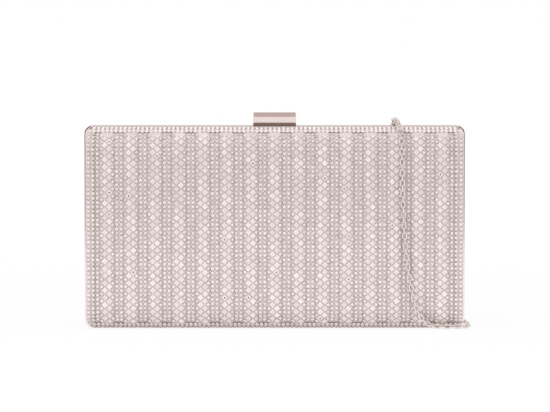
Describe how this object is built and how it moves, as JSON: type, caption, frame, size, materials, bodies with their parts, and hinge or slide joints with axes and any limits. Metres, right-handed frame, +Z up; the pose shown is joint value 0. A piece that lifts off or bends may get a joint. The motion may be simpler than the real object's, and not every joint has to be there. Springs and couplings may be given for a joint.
{
  "type": "minaudiere clutch bag",
  "caption": "Hard box clutch bag: two hinged trays under a glittering stone mesh, a polished metal frame with a press-bar clasp, and a fine wrist chain.",
  "frame": {"origin": "under the middle of the bag, on the surface it stands on, in the plane where the two halves meet", "axes": "+X along the bag to the viewer's right, +Y from the front face to the back, +Z up"},
  "size_m": [0.2156, 0.0528, 0.1202],
  "materials": {
    "rose_metal": "polished, rose-silver plated",
    "crystal_mesh": "foil-backed cut stones and mirror studs set close on a mesh",
    "shell_moulding": "plain moulding, covered",
    "dark_moulding": "dark brown buffer strip",
    "satin_lining": "satin over board",
    "spring_steel": "bright spring wire"
  },
  "bodies": {
    "rear_half": {"rear_frame": "rose_metal", "rear_shell": "shell_moulding", "rear_crystal_face": "crystal_mesh", "rear_crystal_border": "crystal_mesh", "rear_lining": "satin_lining", "rear_pocket": "satin_lining", "rear_hinge_leaf": "rose_metal", "hinge_pin": "rose_metal", "clasp_cage": "rose_metal", "clasp_bushes": "rose_metal", "clasp_springs": "spring_steel", "cage_rivets": "rose_metal", "rear_chain_ears": "rose_metal", "rear_chain_pin": "rose_metal", "rear_chain_ring": "rose_metal", "chain_rear_leg": "rose_metal"},
    "front_half": {"front_frame": "rose_metal", "front_shell": "shell_moulding", "front_crystal_face": "crystal_mesh", "front_crystal_border": "crystal_mesh", "front_lining": "satin_lining", "front_hinge_leaf": "rose_metal", "clasp_striker": "rose_metal", "striker_rivets": "rose_metal", "front_chain_ears": "rose_metal", "front_chain_pin": "rose_metal", "front_chain_ring": "rose_metal", "chain_front_leg": "rose_metal", "clasp_guard": "dark_moulding"},
    "clasp": {"clasp_bar": "rose_metal", "clasp_stems": "rose_metal", "clasp_latch_plate": "rose_metal"}
  },
  "joints": [
    {"name": "case_hinge", "type": "hinge", "parent": "rear_half", "child": "front_half", "pos_m": [0, 0, 0.0022], "axis": [1, 0, 0], "range_deg": [0, 90]},
    {"name": "clasp_press", "type": "slide", "parent": "rear_half", "child": "clasp", "axis": [0, 0, -1], "range_m": [0, 0.001], "stiffness_N_per_m": 500, "springref_m": -0.003, "deforming": ["clasp_springs"]}
  ]
}
